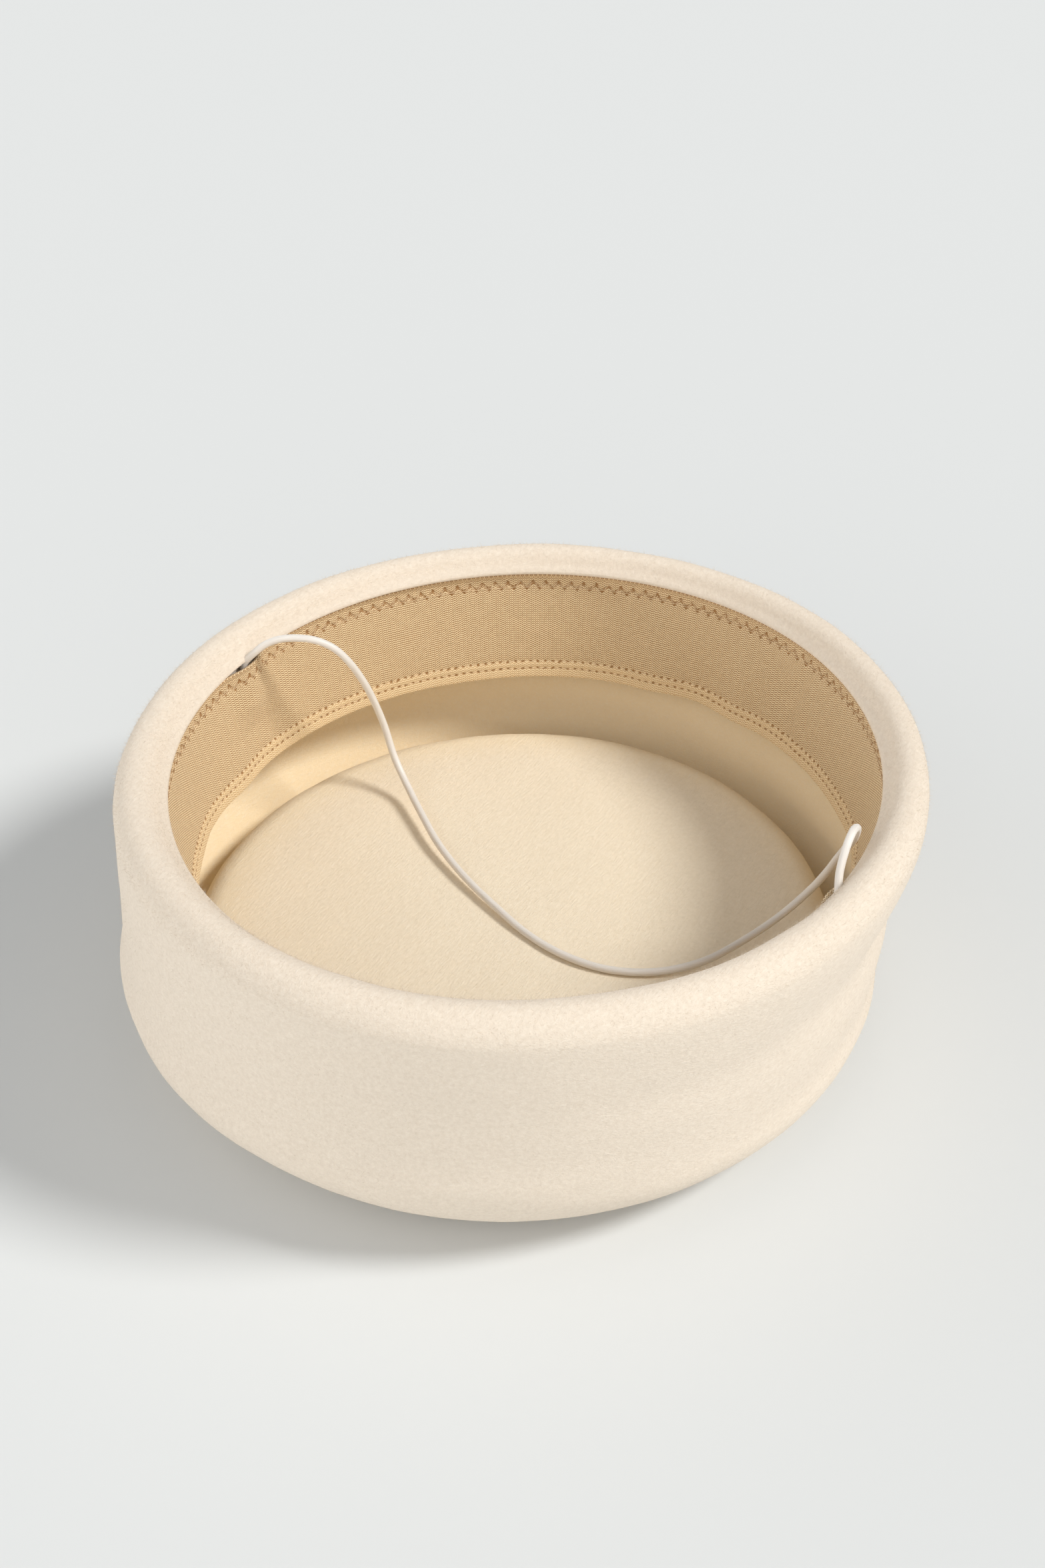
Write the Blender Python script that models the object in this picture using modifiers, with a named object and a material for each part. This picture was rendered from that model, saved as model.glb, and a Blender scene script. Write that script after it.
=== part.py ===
"""Wool felt pillbox hat with a knit sweatband and a round elastic.

The hat lies on its crown with the opening up. X runs from ear to ear, Y from
back to front and Z up from the table. The origin is on the table, under the
middle of the rim. Every length is in metres.
"""

import math

import bmesh
import bpy
from mathutils import Vector

# Rim: its widest line, measured over the outside of the felt
rim_width = 0.2000
rim_length = 0.2080
rim_height = 0.0743
rim_lift = 0.0009
lift_turn = 304.0

# Turned edge: the felt rolled inwards over a soft core and down behind the band
roll_thick = 0.0107
roll_rise = 0.0055
roll_fuller = 0.0024
fuller_turn = 284.0
roll_pinch = 0.0012
roll_pinch_drop = 0.0020
turning_length = 0.0140

# Felt, side wall and crown edge
felt_wall = 0.0028
wall_tuck = 0.0032
wall_lean = 0.0061
lean_turn = 219.0
edge_out = 0.0236
edge_up = 0.0264
edge_fullness = 1.6
ring_width = 0.0030
fold_round = 0.0034

# Shallow dent in the side wall, over the right ear
dent_depth = 0.0037
dent_height = 0.0508
dent_turn = 22.5
dent_tall = 0.0110
dent_spread = 38.0

# Tip: the sunken top of the crown, a raised flat when seen from inside
tip_gap = 0.0110
tip_height = 0.0270
tip_shoulder = 0.0080
tip_dome = 0.0008
tip_lean = 0.50

# Sweatband: a knit elastic with a doubled hem at its lower edge
band_width = 0.0325
band_thick = 0.0012
band_drop = 0.0008
band_hang = 0.0062
hem_width = 0.0080
hem_thick = 0.0020
hem_round = 0.0007
edge_round = 0.0003
band_wave = 0.0013
wave_start = 0.0030

# Round elastic
elastic_thick = 0.0020
pocket_depth = 0.0120
pocket_fade = 0.0072
pocket_spread = 7.0

# Clearance that neighbouring pieces keep
clearance = 0.0003

# Facets round the hat
felt_facets = 56
band_facets = 96
elastic_sides = 2
elastic_points = 78
route_steps = 20

mean_radius = (rim_width + rim_length) / 4
wall_height = rim_height - edge_up
facet_sag = mean_radius * (1 - math.cos(math.pi / felt_facets))
seat_gap = clearance + facet_sag

# Where the sections of the felt have their rows: angles in degrees round each curve
# and shares of each straight
tip_shares = (0, 0.4, 0.75, 1)
shoulder_angles = (60, 30, 0, -30)
fold_angles = (205, 235, 270)
edge_angles = (0, 16, 29, 42, 55, 68, 80)
wall_shares = (0.08, 0.30, 0.52, 0.70, 0.86)
roll_angles = (0, 30, 60, 90, 120, 150, 180)
turning_shares = (0, 0.35, 0.7, 1)

# Where the ends of the elastic lie: shares of pocket_depth
pocket_shares = (0.85, 0.45, 0.05)

# Side wall from the crown edge up to the rim, one row for each level:
# share of the wall's height, share of wall_tuck inwards, share of wall_lean
wall_levels = [
    # height  tuck  lean
    (0.00, 0.90, 1.00),
    (0.19, 0.84, 0.68),
    (0.38, 0.60, 0.47),
    (0.57, 0.45, 0.32),
    (0.76, 0.20, 0.18),
    (1.00, 0.00, 0.00),
]

# Lean of the crown edge, one row for each level: share of edge_up, share of wall_lean
edge_lean = [
    # height  lean
    (0.00, -0.18),
    (0.20, -0.10),
    (0.60, 0.40),
    (1.00, 1.00),
]

# Soft upright waves in the sweatband, one row for each wave:
# place round the hat in degrees, share of band_wave inwards, spread in degrees
waves = [
    # turn  depth  spread
    (29.0, 0.8, 5.0),
    (41.0, -0.5, 6.0),
    (82.0, 0.7, 4.5),
    (92.0, -0.6, 4.5),
    (101.0, 0.6, 5.0),
    (136.0, 0.3, 9.0),
    (188.0, 0.8, 5.0),
    (201.0, -0.5, 6.0),
    (247.0, 0.5, 8.0),
    (296.0, -0.4, 9.0),
    (332.0, 0.5, 7.0),
]

# Where the elastic goes in between felt and band, in degrees round the hat
elastic_turns = (180.5, 0.5)

# Route of the elastic between the two pockets, from the left ear to the right
elastic_route = [
    (-0.0870, 0.0010, 0.0760),
    (-0.0845, 0.0035, 0.0785),
    (-0.0805, 0.0065, 0.0800),
    (-0.0750, 0.0105, 0.0795),
    (-0.0705, 0.0140, 0.0765),
    (-0.0675, 0.0170, 0.0710),
    (-0.0660, 0.0205, 0.0635),
    (-0.0650, 0.0235, 0.0555),
    (-0.0635, 0.0255, 0.0470),
    (-0.0600, 0.0250, 0.0380),
    (-0.0535, 0.0220, 0.0325),
    (-0.0440, 0.0155, 0.0310),
    (-0.0330, 0.0080, 0.0305),
    (-0.0205, 0.0015, 0.0300),
    (-0.0075, -0.0035, 0.0295),
    (0.0070, -0.0080, 0.0290),
    (0.0200, -0.0095, 0.0290),
    (0.0320, -0.0075, 0.0290),
    (0.0425, -0.0015, 0.0293),
    (0.0505, 0.0075, 0.0303),
    (0.0560, 0.0180, 0.0325),
    (0.0610, 0.0270, 0.0365),
    (0.0660, 0.0325, 0.0435),
    (0.0705, 0.0320, 0.0520),
    (0.0745, 0.0290, 0.0605),
    (0.0785, 0.0250, 0.0685),
    (0.0820, 0.0210, 0.0755),
    (0.0840, 0.0175, 0.0815),
    (0.0848, 0.0135, 0.0838),
    (0.0855, 0.0090, 0.0820),
    (0.0865, 0.0045, 0.0780),
]


def clear_scene():
    for item in list(bpy.data.objects):
        bpy.data.objects.remove(item, do_unlink=True)
    for group in list(bpy.data.collections):
        bpy.data.collections.remove(group)


def read_table(rows, column, at):
    """Value of one column of a table at a place along its first column.

    The curve between the rows is smooth, and it runs level into the last row.
    """
    last = len(rows) - 1
    if at <= rows[0][0]:
        return rows[0][column]
    if at >= rows[last][0]:
        return rows[last][column]
    low = max(i for i in range(last) if rows[i][0] <= at)

    def slope(i):
        if i == last:
            return 0.0
        before, after = max(i - 1, 0), i + 1
        return (rows[after][column] - rows[before][column]) / (rows[after][0] - rows[before][0])

    span = rows[low + 1][0] - rows[low][0]
    t = (at - rows[low][0]) / span
    start, end = rows[low][column], rows[low + 1][column]
    return (
        start * (2 * t**3 - 3 * t**2 + 1)
        + slope(low) * span * (t**3 - 2 * t**2 + t)
        + end * (3 * t**2 - 2 * t**3)
        + slope(low + 1) * span * (t**3 - t**2)
    )


def toward(turn, middle):
    """1 on the side that faces a direction, -1 on the far side."""
    return math.cos(math.radians(turn - middle))


def nearness(turn, middle, spread):
    """1 at a place round the hat, fading smoothly to 0 on both sides of it."""
    away = (turn - middle + 180) % 360 - 180
    return math.exp(-((away / spread) ** 2))


def place(turn, radius, height, lean=0.0, inner=0.0):
    """Point of the hat: a round section made oval, leaned, lifted and thickened.

    radius is the distance from the middle of a round hat of the same girth, lean a share
    of wall_lean, and inner the share of the turned edge's thickness that lies outside it.
    """
    crest = 4 * inner * (1 - inner)
    dent_share = math.exp(-(((height - dent_height) / dent_tall) ** 2))
    radius -= (1 - inner) * dent_depth * dent_share * nearness(turn, dent_turn, dent_spread)
    radius -= inner * roll_fuller * toward(turn, fuller_turn)
    angle = math.radians(turn)
    lean_angle = math.radians(lean_turn)
    lifted = min(max((height - edge_up) / wall_height, 0.0), 1.0)
    return Vector((
        radius * math.cos(angle) * rim_width / (2 * mean_radius)
        + lean * wall_lean * math.cos(lean_angle),
        radius * math.sin(angle) * rim_length / (2 * mean_radius)
        + lean * wall_lean * math.sin(lean_angle),
        height + lifted * rim_lift * toward(turn, lift_turn)
        + crest * roll_fuller * (1 + toward(turn, fuller_turn)) / 2,
    ))


def tip_rows():
    """Outside of the sunken tip, from its middle to its shoulder and down the recess."""
    ring_inner = mean_radius - wall_tuck - edge_out - ring_width
    under = tip_height - felt_wall
    round_under = tip_shoulder - felt_wall
    flat = mean_radius - wall_tuck - felt_wall - tip_gap - tip_shoulder
    rows = []
    for share in tip_shares:
        rows.append((flat * share, under + tip_dome * (1 - share**2), tip_lean, 0.0))
    for angle in shoulder_angles:
        turned = math.radians(angle)
        rows.append((
            flat + round_under * math.cos(turned),
            under - round_under + round_under * math.sin(turned),
            tip_lean,
            0.0,
        ))
    for angle in fold_angles:
        turned = math.radians(angle)
        rows.append((
            ring_inner + fold_round * math.cos(turned),
            fold_round + fold_round * math.sin(turned),
            edge_lean[0][1],
            0.0,
        ))
    return rows


def edge_rows():
    """Outside of the rounded crown edge, from the ring on the table to the side wall."""
    start = mean_radius - wall_tuck - edge_out
    rows = []
    for angle in edge_angles:
        turned = math.radians(angle)
        height = edge_up * (1 - math.cos(turned))
        radius = start + edge_out * math.sin(turned) ** edge_fullness
        rows.append((radius, height, read_table(edge_lean, 1, height / edge_up), 0.0))
    return rows


def wall_rows():
    """Outside of the side wall, up to just under the widest line of the rim."""
    rows = []
    for share in wall_shares:
        tuck = read_table(wall_levels, 1, share) * wall_tuck
        lean = read_table(wall_levels, 2, share)
        rows.append((mean_radius - tuck, edge_up + share * wall_height, lean, 0.0))
    return rows


def turning_inset(drop):
    """How far inside the widest line the turned-down felt lies, at a drop below the rim."""
    pinched = min(drop / roll_pinch_drop, 1.0)
    below = max(drop - roll_pinch_drop, 0.0)
    return roll_thick - roll_pinch * pinched + band_hang * below / band_width


def roll_rows():
    """The rolled rim, over its top and down the felt that is turned in."""
    half = roll_thick / 2
    rows = []
    for angle in roll_angles:
        turned = math.radians(angle)
        inner = (1 - math.cos(turned)) / 2
        rows.append((
            mean_radius - half * (1 - math.cos(turned)),
            rim_height + roll_rise * math.sin(turned),
            0.0,
            inner,
        ))
    for share in turning_shares:
        drop = roll_pinch_drop + share * (turning_length - roll_pinch_drop)
        rows.append((mean_radius - turning_inset(drop), rim_height - drop, 0.0, 1.0))
    return rows


def band_ripple(turn, along):
    """How far the sweatband stands inwards at a place along its width, from 0 at the top.

    Waves that stand outwards start below the turned-down felt, and a pocket over each
    end of the elastic gives it room behind the band.
    """
    inwards = min(max((along - wave_start) / (band_width - hem_width), 0.0), 1.0)
    outwards = max((along - turning_length) / (band_width - turning_length), 0.0)
    wave = 0.0
    for middle, depth, spread in waves:
        hang = inwards if depth > 0 else outwards
        wave += depth * hang * nearness(turn, middle, spread)
    pocket = sum(nearness(turn, middle, pocket_spread) for middle in elastic_turns)
    fade = min(max((pocket_depth + pocket_fade - along) / pocket_fade, 0.0), 1.0)
    return band_wave * wave + (elastic_thick + seat_gap) * pocket * fade


def band_rows():
    """Section of the sweatband as a closed loop: distance down its face, depth behind it."""
    hem_top = band_width - hem_width
    return [
        (edge_round, 0.0),
        (hem_top / 3, 0.0),
        (hem_top * 2 / 3, 0.0),
        (hem_top, 0.0),
        (band_width - hem_round, 0.0),
        (band_width, hem_thick / 4),
        (band_width, hem_thick * 3 / 4),
        (band_width - hem_round, hem_thick),
        (hem_top + hem_thick, hem_thick),
        (hem_top, band_thick),
        (hem_top / 2, band_thick),
        (edge_round, band_thick),
        (0.0, band_thick / 2),
    ]


def band_point(turn, along, depth):
    """Point of the sweatband at a distance down its face and a depth behind the face."""
    steep = math.sqrt(band_width**2 - band_hang**2) / band_width
    drop = band_drop + along * steep
    face = turning_inset(drop) + seat_gap + band_thick
    inset = face + band_ripple(turn, along) - depth
    return place(turn, mean_radius - inset, rim_height - drop, 0.0, 1.0)


def spin_rows(rows, facets, closed):
    """Spin a section round the hat's middle; each point keeps its row's number in a layer."""
    shape = bmesh.new()
    number = shape.verts.layers.int.new("row")
    points = []
    for i, row in enumerate(rows):
        point = shape.verts.new((row[0], 0.0, row[1]))
        point[number] = i
        points.append(point)
    pairs = list(zip(points, points[1:]))
    if closed:
        pairs.append((points[-1], points[0]))
    edges = [shape.edges.new(pair) for pair in pairs]
    bmesh.ops.spin(
        shape,
        geom=points + edges,
        cent=(0.0, 0.0, 0.0),
        axis=(0.0, 0.0, 1.0),
        angle=math.tau,
        steps=facets,
        use_merge=True,
    )
    bmesh.ops.remove_doubles(shape, verts=shape.verts, dist=1e-7)
    return shape, number


def turn_of(point):
    return math.degrees(math.atan2(point.co.y, point.co.x)) % 360


def finish_mesh(shape, name, collection, finish):
    mesh = bpy.data.meshes.new(name)
    shape.to_mesh(mesh)
    shape.free()
    mesh.shade_smooth()
    thing = bpy.data.objects.new(name, mesh)
    thing.data.materials.append(finish)
    collection.objects.link(thing)
    return thing


def make_finish(name, colour, roughness):
    finish = bpy.data.materials.new(name)
    finish.use_nodes = True
    shader = finish.node_tree.nodes["Principled BSDF"]
    shader.inputs["Base Color"].default_value = (*colour, 1.0)
    shader.inputs["Roughness"].default_value = roughness
    shader.inputs["Metallic"].default_value = 0.0
    return finish


def make_felt(collection):
    """One piece of felt: tip, recess, crown edge, side wall, rolled rim and turning."""
    rows = tip_rows() + edge_rows() + wall_rows() + roll_rows()
    shape, number = spin_rows(rows, felt_facets, closed=False)
    for point in shape.verts:
        radius, height, lean, inner = rows[point[number]]
        point.co = place(turn_of(point), radius, height, lean, inner)
    bmesh.ops.recalc_face_normals(shape, faces=shape.faces)
    lowest = min(shape.faces, key=lambda face: face.calc_center_median().z)
    if lowest.normal.z > 0:
        bmesh.ops.reverse_faces(shape, faces=shape.faces)
    felt = finish_mesh(shape, "felt_crown", collection, make_finish("ivory_felt", (0.80, 0.70, 0.57), 0.95))
    wall = felt.modifiers.new("wall", "SOLIDIFY")
    wall.thickness = felt_wall
    wall.offset = -1.0
    wall.use_even_offset = True
    return felt


def make_sweatband(collection):
    """Knit sweatband: a closed loop of cloth with a doubled hem."""
    rows = band_rows()
    section = [(mean_radius + depth, -along) for along, depth in rows]
    shape, number = spin_rows(section, band_facets, closed=True)
    for point in shape.verts:
        along, depth = rows[point[number]]
        point.co = band_point(turn_of(point), along, depth)
    bmesh.ops.recalc_face_normals(shape, faces=shape.faces)
    return finish_mesh(shape, "sweatband", collection, make_finish("tan_knit", (0.60, 0.39, 0.19), 0.85))


def pocket_point(turn, depth):
    """Middle of the elastic between the felt and the band, at a depth below the band's edge."""
    drop = band_drop + depth
    inset = turning_inset(drop) + seat_gap + elastic_thick / 2
    return place(turn, mean_radius - inset, rim_height - drop, 0.0, 1.0)


def smooth_route(points, count):
    """Even points along a smooth curve through the chosen ones."""
    dense = []
    for i in range(len(points) - 1):
        ends = [points[max(i - 1, 0)], points[i], points[i + 1], points[min(i + 2, len(points) - 1)]]
        a, b, c, d = (Vector(end) for end in ends)
        for step in range(route_steps):
            t = step / route_steps
            dense.append(0.5 * (
                2 * b + (c - a) * t + (2 * a - 5 * b + 4 * c - d) * t**2
                + (3 * b - a - 3 * c + d) * t**3
            ))
    dense.append(Vector(points[-1]))
    lengths = [0.0]
    for before, after in zip(dense, dense[1:]):
        lengths.append(lengths[-1] + (after - before).length)
    even = []
    j = 0
    for i in range(count):
        goal = lengths[-1] * i / (count - 1)
        while j < len(dense) - 2 and lengths[j + 1] < goal:
            j += 1
        share = (goal - lengths[j]) / (lengths[j + 1] - lengths[j])
        even.append(dense[j].lerp(dense[j + 1], share))
    return even


def make_elastic(collection):
    """Round elastic: both ends sit between the felt and the band."""
    left, right = elastic_turns
    start = [pocket_point(left, pocket_depth * share) for share in pocket_shares]
    end = [pocket_point(right, pocket_depth * share) for share in reversed(pocket_shares)]
    route = smooth_route(start + [Vector(point) for point in elastic_route] + end, elastic_points)
    curve = bpy.data.curves.new("elastic_cord", "CURVE")
    curve.dimensions = "3D"
    curve.bevel_depth = elastic_thick / 2
    curve.bevel_resolution = elastic_sides
    curve.use_fill_caps = True
    line = curve.splines.new("POLY")
    line.points.add(len(route) - 1)
    for point, where in zip(line.points, route):
        point.co = (*where, 1.0)
    elastic = bpy.data.objects.new("elastic_cord", curve)
    elastic.data.materials.append(make_finish("white_elastic", (0.82, 0.80, 0.74), 0.5))
    collection.objects.link(elastic)
    return elastic


def main():
    clear_scene()
    hat = bpy.data.collections.new("pillbox_hat")
    bpy.context.scene.collection.children.link(hat)
    make_felt(hat)
    make_sweatband(hat)
    make_elastic(hat)


main()
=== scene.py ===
"""Looks of the wool felt pillbox hat: brushed felt, knit sweatband, stitches and elastic.

Lengths are in metres. The hat lies on its crown, X runs from ear to ear, Y from back
to front and Z up from the table.
"""

import math

import bmesh
import bpy
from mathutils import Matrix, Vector, noise


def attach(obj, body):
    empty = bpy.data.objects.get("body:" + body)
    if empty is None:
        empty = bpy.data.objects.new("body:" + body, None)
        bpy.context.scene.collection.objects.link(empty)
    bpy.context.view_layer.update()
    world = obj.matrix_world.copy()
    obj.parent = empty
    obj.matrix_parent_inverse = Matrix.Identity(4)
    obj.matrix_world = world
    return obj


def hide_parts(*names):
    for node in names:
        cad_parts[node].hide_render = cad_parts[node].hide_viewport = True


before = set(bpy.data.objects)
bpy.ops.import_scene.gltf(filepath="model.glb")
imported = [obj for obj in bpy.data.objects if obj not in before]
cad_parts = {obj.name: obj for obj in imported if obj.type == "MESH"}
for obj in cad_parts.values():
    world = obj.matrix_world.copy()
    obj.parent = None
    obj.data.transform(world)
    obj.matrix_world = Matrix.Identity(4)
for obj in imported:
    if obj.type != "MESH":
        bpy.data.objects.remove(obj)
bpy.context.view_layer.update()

# Camera: where it stands, its tilt from straight down, its turn and its lens
camera_place = (0.2720, -0.4037, 0.4424)
camera_tilt = 52.58
camera_turn = 34.0
camera_lens = 56.0

# Key light from the right of the camera, a wide low glow on its left, a wide glow at half
# height behind the camera, and a little light from everywhere
key_turn = 25.0
key_height = 45.0
key_soft = 15.0
key_power = 2.32
sky_above = 0.12
glow_power = 2.15
glow_low = 3.0
glow_turn = 214.0
half_power = 4.6
half_turn = 275.0

# Rim, crown and side wall, as in the solids
rim_width = 0.2000
rim_length = 0.2080
rim_height = 0.0743
rim_lift = 0.0009
lift_turn = 304.0
roll_thick = 0.0107
roll_rise = 0.0055
roll_fuller = 0.0024
fuller_turn = 284.0
roll_pinch = 0.0012
roll_pinch_drop = 0.0020
seam_lip = 0.0016
lip_height = 0.0016
turning_length = 0.0140
felt_wall = 0.0028
wall_tuck = 0.0032
wall_lean = 0.0061
lean_turn = 219.0
edge_out = 0.0236
edge_up = 0.0264
edge_fullness = 1.6
ring_width = 0.0030
fold_round = 0.0034
dent_depth = 0.0037
dent_height = 0.0508
dent_turn = 22.5
dent_tall = 0.0110
dent_spread = 38.0
tip_gap = 0.0110
tip_height = 0.0270
tip_shoulder = 0.0080
tip_dome = 0.0008
tip_lean = 0.50

# Sweatband and elastic, as in the solids but for pockets that hug the elastic
band_width = 0.0325
band_thick = 0.0012
band_drop = 0.0008
band_hang = 0.0062
hem_width = 0.0080
hem_thick = 0.0020
band_wave = 0.0013
wave_start = 0.0030
elastic_thick = 0.0020
pocket_depth = 0.0120
pocket_fade = 0.0072
pocket_spread = 4.5
seat_gap = 0.00046
mean_radius = (rim_width + rim_length) / 4
wall_height = rim_height - edge_up

wall_levels = [
    # height  tuck  lean
    (0.00, 0.90, 1.00),
    (0.19, 0.84, 0.68),
    (0.38, 0.60, 0.47),
    (0.57, 0.45, 0.32),
    (0.76, 0.20, 0.18),
    (1.00, 0.00, 0.00),
]

edge_lean = [
    # height  lean
    (0.00, -0.18),
    (0.20, -0.10),
    (0.60, 0.40),
    (1.00, 1.00),
]

waves = [
    # turn  depth  spread
    (29.0, 0.8, 5.0),
    (41.0, -0.5, 6.0),
    (82.0, 0.7, 4.5),
    (92.0, -0.6, 4.5),
    (101.0, 0.6, 5.0),
    (136.0, 0.3, 9.0),
    (188.0, 0.8, 5.0),
    (201.0, -0.5, 6.0),
    (247.0, 0.5, 8.0),
    (296.0, -0.4, 9.0),
    (332.0, 0.5, 7.0),
]

elastic_turns = (180.5, 0.5)
pocket_shares = (0.85, 0.45, 0.05)

elastic_route = [
    (-0.0870, 0.0010, 0.0760),
    (-0.0845, 0.0035, 0.0785),
    (-0.0805, 0.0065, 0.0800),
    (-0.0750, 0.0105, 0.0795),
    (-0.0705, 0.0140, 0.0765),
    (-0.0675, 0.0170, 0.0710),
    (-0.0660, 0.0205, 0.0635),
    (-0.0650, 0.0235, 0.0555),
    (-0.0635, 0.0255, 0.0470),
    (-0.0600, 0.0250, 0.0380),
    (-0.0535, 0.0220, 0.0325),
    (-0.0440, 0.0155, 0.0310),
    (-0.0330, 0.0080, 0.0305),
    (-0.0205, 0.0015, 0.0300),
    (-0.0075, -0.0035, 0.0295),
    (0.0070, -0.0080, 0.0290),
    (0.0200, -0.0095, 0.0290),
    (0.0320, -0.0075, 0.0290),
    (0.0425, -0.0015, 0.0293),
    (0.0505, 0.0075, 0.0303),
    (0.0560, 0.0180, 0.0325),
    (0.0610, 0.0270, 0.0365),
    (0.0660, 0.0325, 0.0435),
    (0.0705, 0.0320, 0.0520),
    (0.0745, 0.0290, 0.0605),
    (0.0785, 0.0250, 0.0685),
    (0.0820, 0.0210, 0.0755),
    (0.0840, 0.0175, 0.0815),
    (0.0848, 0.0135, 0.0838),
    (0.0855, 0.0090, 0.0820),
    (0.0865, 0.0045, 0.0780),
]

# Felt surface: how many columns round the hat, and its soft unevenness
felt_columns = 256
lump_size = 0.018
lump_height = 0.00030
ripple_size = 0.0045
ripple_height = 0.00006
seat_fade = (0.0005, 0.006)
turning_fade = (0.9, 1.0)
weld_reach = 3e-5

# Felt finish: how wide its fibres and soft clouds are, and how strong the paler fibres.
# Painted light: the inside turns warmer between two distances from the hat's middle, painting the
# warm bounce light and shade of the inner walls
fibre_size = 0.0006
cloud_size = 0.0011
fibre_share = 0.45
painted_bounce_span = (0.066, 0.088)
painted_bounce_share = 0.75

# Nap: fine fibres that stand off the felt, and how many there are to the square metre
nap_thick = 0.000042
crest_nap = (0.0014, 1.85e6)
wall_nap = (0.0010, 0.21e6)
tip_nap = (0.0009, 0.60e6)
nap_bow = 0.8
nap_sizes = (0.4, 1.2)
nap_upright = 0.1

# Zigzag seam along the band's upper edge, with a straight thread through it, and how
# dark the painted shade in its groove is
band_columns = 1344
zigzag_count = 162
zigzag_middle = 0.0036
zigzag_reach = 0.0010
zigzag_groove = 0.00022
zigzag_round = 0.00062
zigzag_hole = 0.00072
zigzag_shade = 0.75
chain_line = 0.0041

# Unevenness of all seams: how far the needle strays along the width and round the hat,
# how often (to the turn and to the metre), and where the fraying begins and ends
needle_stray = 0.0011
needle_stray_round = 0.35
stray_rate = (420.0, 700.0)
fray_span = (0.30, 0.50)
seam_girth = math.tau * mean_radius * 0.86

# Two rows of stitches in the hem, and how far the hem stands up at its start
hem_rows = (0.0273, 0.0294)
hem_stitches = 256
hem_hole_long = 0.00076
hem_hole_tall = 0.00036
hem_hole_shade = 1.15
hem_dimple = 0.00022
hem_stand = 0.00030
hem_step = (0.0022, 0.0034)
# Painted light: the paler hem tone fades in round the upper hem row, for the light the flat hem
# catches
hem_light_fade = (-0.0008, 0.0004)
thread_thick = 0.00026

# Knit of the sweatband: ribs round the hat, courses along its width, height of a zigzag
# and unevenness of its face; then the points along the elastic
knit_ribs = 460
knit_course = 0.00064
knit_zigzag = 0.00047
knit_uneven = 0.00010
elastic_steps = 260


def read_table(rows, column, at):
    """Value of one column of a table at a place along its first column.

    The curve between the rows is smooth, and it runs level into the last row.
    """
    last = len(rows) - 1
    if at <= rows[0][0]:
        return rows[0][column]
    if at >= rows[last][0]:
        return rows[last][column]
    low = max(i for i in range(last) if rows[i][0] <= at)

    def slope(i):
        if i == last:
            return 0.0
        before, after = max(i - 1, 0), i + 1
        return (rows[after][column] - rows[before][column]) / (rows[after][0] - rows[before][0])

    span = rows[low + 1][0] - rows[low][0]
    t = (at - rows[low][0]) / span
    start, end = rows[low][column], rows[low + 1][column]
    return (
        start * (2 * t**3 - 3 * t**2 + 1)
        + slope(low) * span * (t**3 - 2 * t**2 + t)
        + end * (3 * t**2 - 2 * t**3)
        + slope(low + 1) * span * (t**3 - t**2)
    )


def toward(turn, middle):
    """1 on the side that faces a direction, -1 on the far side."""
    return math.cos(math.radians(turn - middle))


def nearness(turn, middle, spread):
    """1 at a place round the hat, fading smoothly to 0 on both sides of it."""
    away = (turn - middle + 180) % 360 - 180
    return math.exp(-((away / spread) ** 2))


def ease(low, high, value):
    """Smooth step from 0 to 1."""
    t = min(max((value - low) / (high - low), 0.0), 1.0)
    return t * t * (3 - 2 * t)


def even_steps(start, end, count):
    """Evenly spaced values, both ends included."""
    return [start + (end - start) * i / (count - 1) for i in range(count)]


def place(turn, radius, height, lean=0.0, inner=0.0):
    """Point of the hat: a round section made oval, leaned, lifted, dented and thickened."""
    crest = 4 * inner * (1 - inner)
    dent_share = math.exp(-(((height - dent_height) / dent_tall) ** 2))
    radius -= (1 - inner) * dent_depth * dent_share * nearness(turn, dent_turn, dent_spread)
    radius -= inner * roll_fuller * toward(turn, fuller_turn)
    angle = math.radians(turn)
    lean_angle = math.radians(lean_turn)
    lifted = min(max((height - edge_up) / wall_height, 0.0), 1.0)
    return Vector((
        radius * math.cos(angle) * rim_width / (2 * mean_radius)
        + lean * wall_lean * math.cos(lean_angle),
        radius * math.sin(angle) * rim_length / (2 * mean_radius)
        + lean * wall_lean * math.sin(lean_angle),
        height + lifted * rim_lift * toward(turn, lift_turn)
        + crest * roll_fuller * (1 + toward(turn, fuller_turn)) / 2,
    ))


def turning_inset(drop):
    """How far inside the widest line the turned-down felt lies, at a drop below the rim."""
    pinched = min(drop / roll_pinch_drop, 1.0)
    below = max(drop - roll_pinch_drop, 0.0)
    return roll_thick - roll_pinch * pinched + band_hang * below / band_width


def lip_over_band(drop):
    """How far the rolled felt swells out just over the band's sewn edge."""
    return seam_lip * math.exp(-((drop / lip_height) ** 2))


def band_ripple(turn, along):
    """How far the sweatband stands inwards: its upright waves and the elastic's pockets."""
    inwards = min(max((along - wave_start) / (band_width - hem_width), 0.0), 1.0)
    outwards = max((along - turning_length) / (band_width - turning_length), 0.0)
    wave = 0.0
    for middle, depth, spread in waves:
        hang = inwards if depth > 0 else outwards
        wave += depth * hang * nearness(turn, middle, spread)
    pocket = sum(nearness(turn, middle, pocket_spread) for middle in elastic_turns)
    fade = min(max((pocket_depth + pocket_fade - along) / pocket_fade, 0.0), 1.0)
    return band_wave * wave + (elastic_thick + seat_gap) * pocket * fade


def band_point(turn, along, depth):
    """Point of the sweatband at a distance down its face and a depth behind the face."""
    steep = math.sqrt(band_width**2 - band_hang**2) / band_width
    drop = band_drop + along * steep
    face = turning_inset(drop) + seat_gap + band_thick
    inset = face + band_ripple(turn, along) - depth
    return place(turn, mean_radius - inset, rim_height - drop, 0.0, 1.0)


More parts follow.
